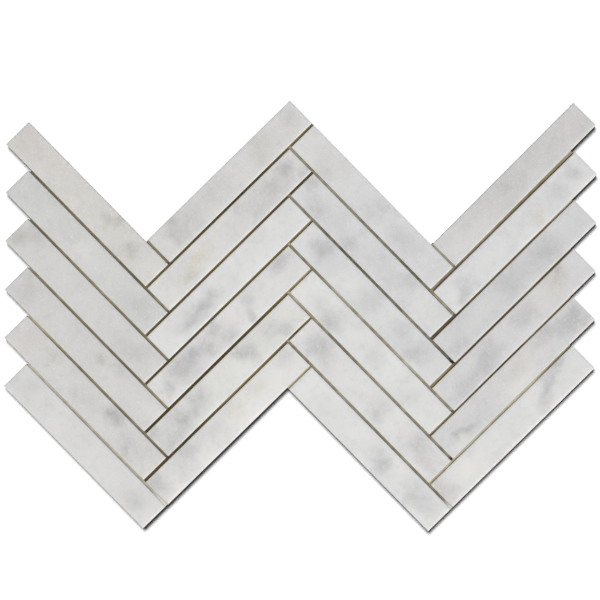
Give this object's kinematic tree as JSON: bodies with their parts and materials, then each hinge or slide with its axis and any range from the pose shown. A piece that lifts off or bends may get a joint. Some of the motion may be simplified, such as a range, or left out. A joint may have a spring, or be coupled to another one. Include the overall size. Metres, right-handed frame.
{
  "type": "herringbone mosaic tile sheet",
  "caption": "Mesh-mounted sheet of pale marble strips laid in a 45 degree herringbone, with toothed edges that interlock with the next sheet on a wall or floor.",
  "frame": {"origin": "on the back of the mesh, under the middle of the sheet's outline", "axes": "+X across the columns, +Y towards the first row of strips, +Z out of the stone's face"},
  "size_m": [0.4423, 0.3214, 0.0103],
  "materials": {
    "marble": "honed",
    "backing_mesh": "glass-fibre mesh set in adhesive"
  },
  "bodies": {
    "root": {"marble_strip_a1": "marble", "marble_strip_a2": "marble", "marble_strip_a3": "marble", "marble_strip_a4": "marble", "marble_strip_a5": "marble", "marble_strip_a6": "marble", "marble_strip_b1": "marble", "marble_strip_b2": "marble", "marble_strip_b3": "marble", "marble_strip_b4": "marble", "marble_strip_b5": "marble", "marble_strip_b6": "marble", "marble_strip_c1": "marble", "marble_strip_c2": "marble", "marble_strip_c3": "marble", "marble_strip_c4": "marble", "marble_strip_c5": "marble", "marble_strip_c6": "marble", "marble_strip_d1": "marble", "marble_strip_d2": "marble", "marble_strip_d3": "marble", "marble_strip_d4": "marble", "marble_strip_d5": "marble", "marble_strip_d6": "marble", "mesh_backing": "backing_mesh"}
  },
  "joints": []
}
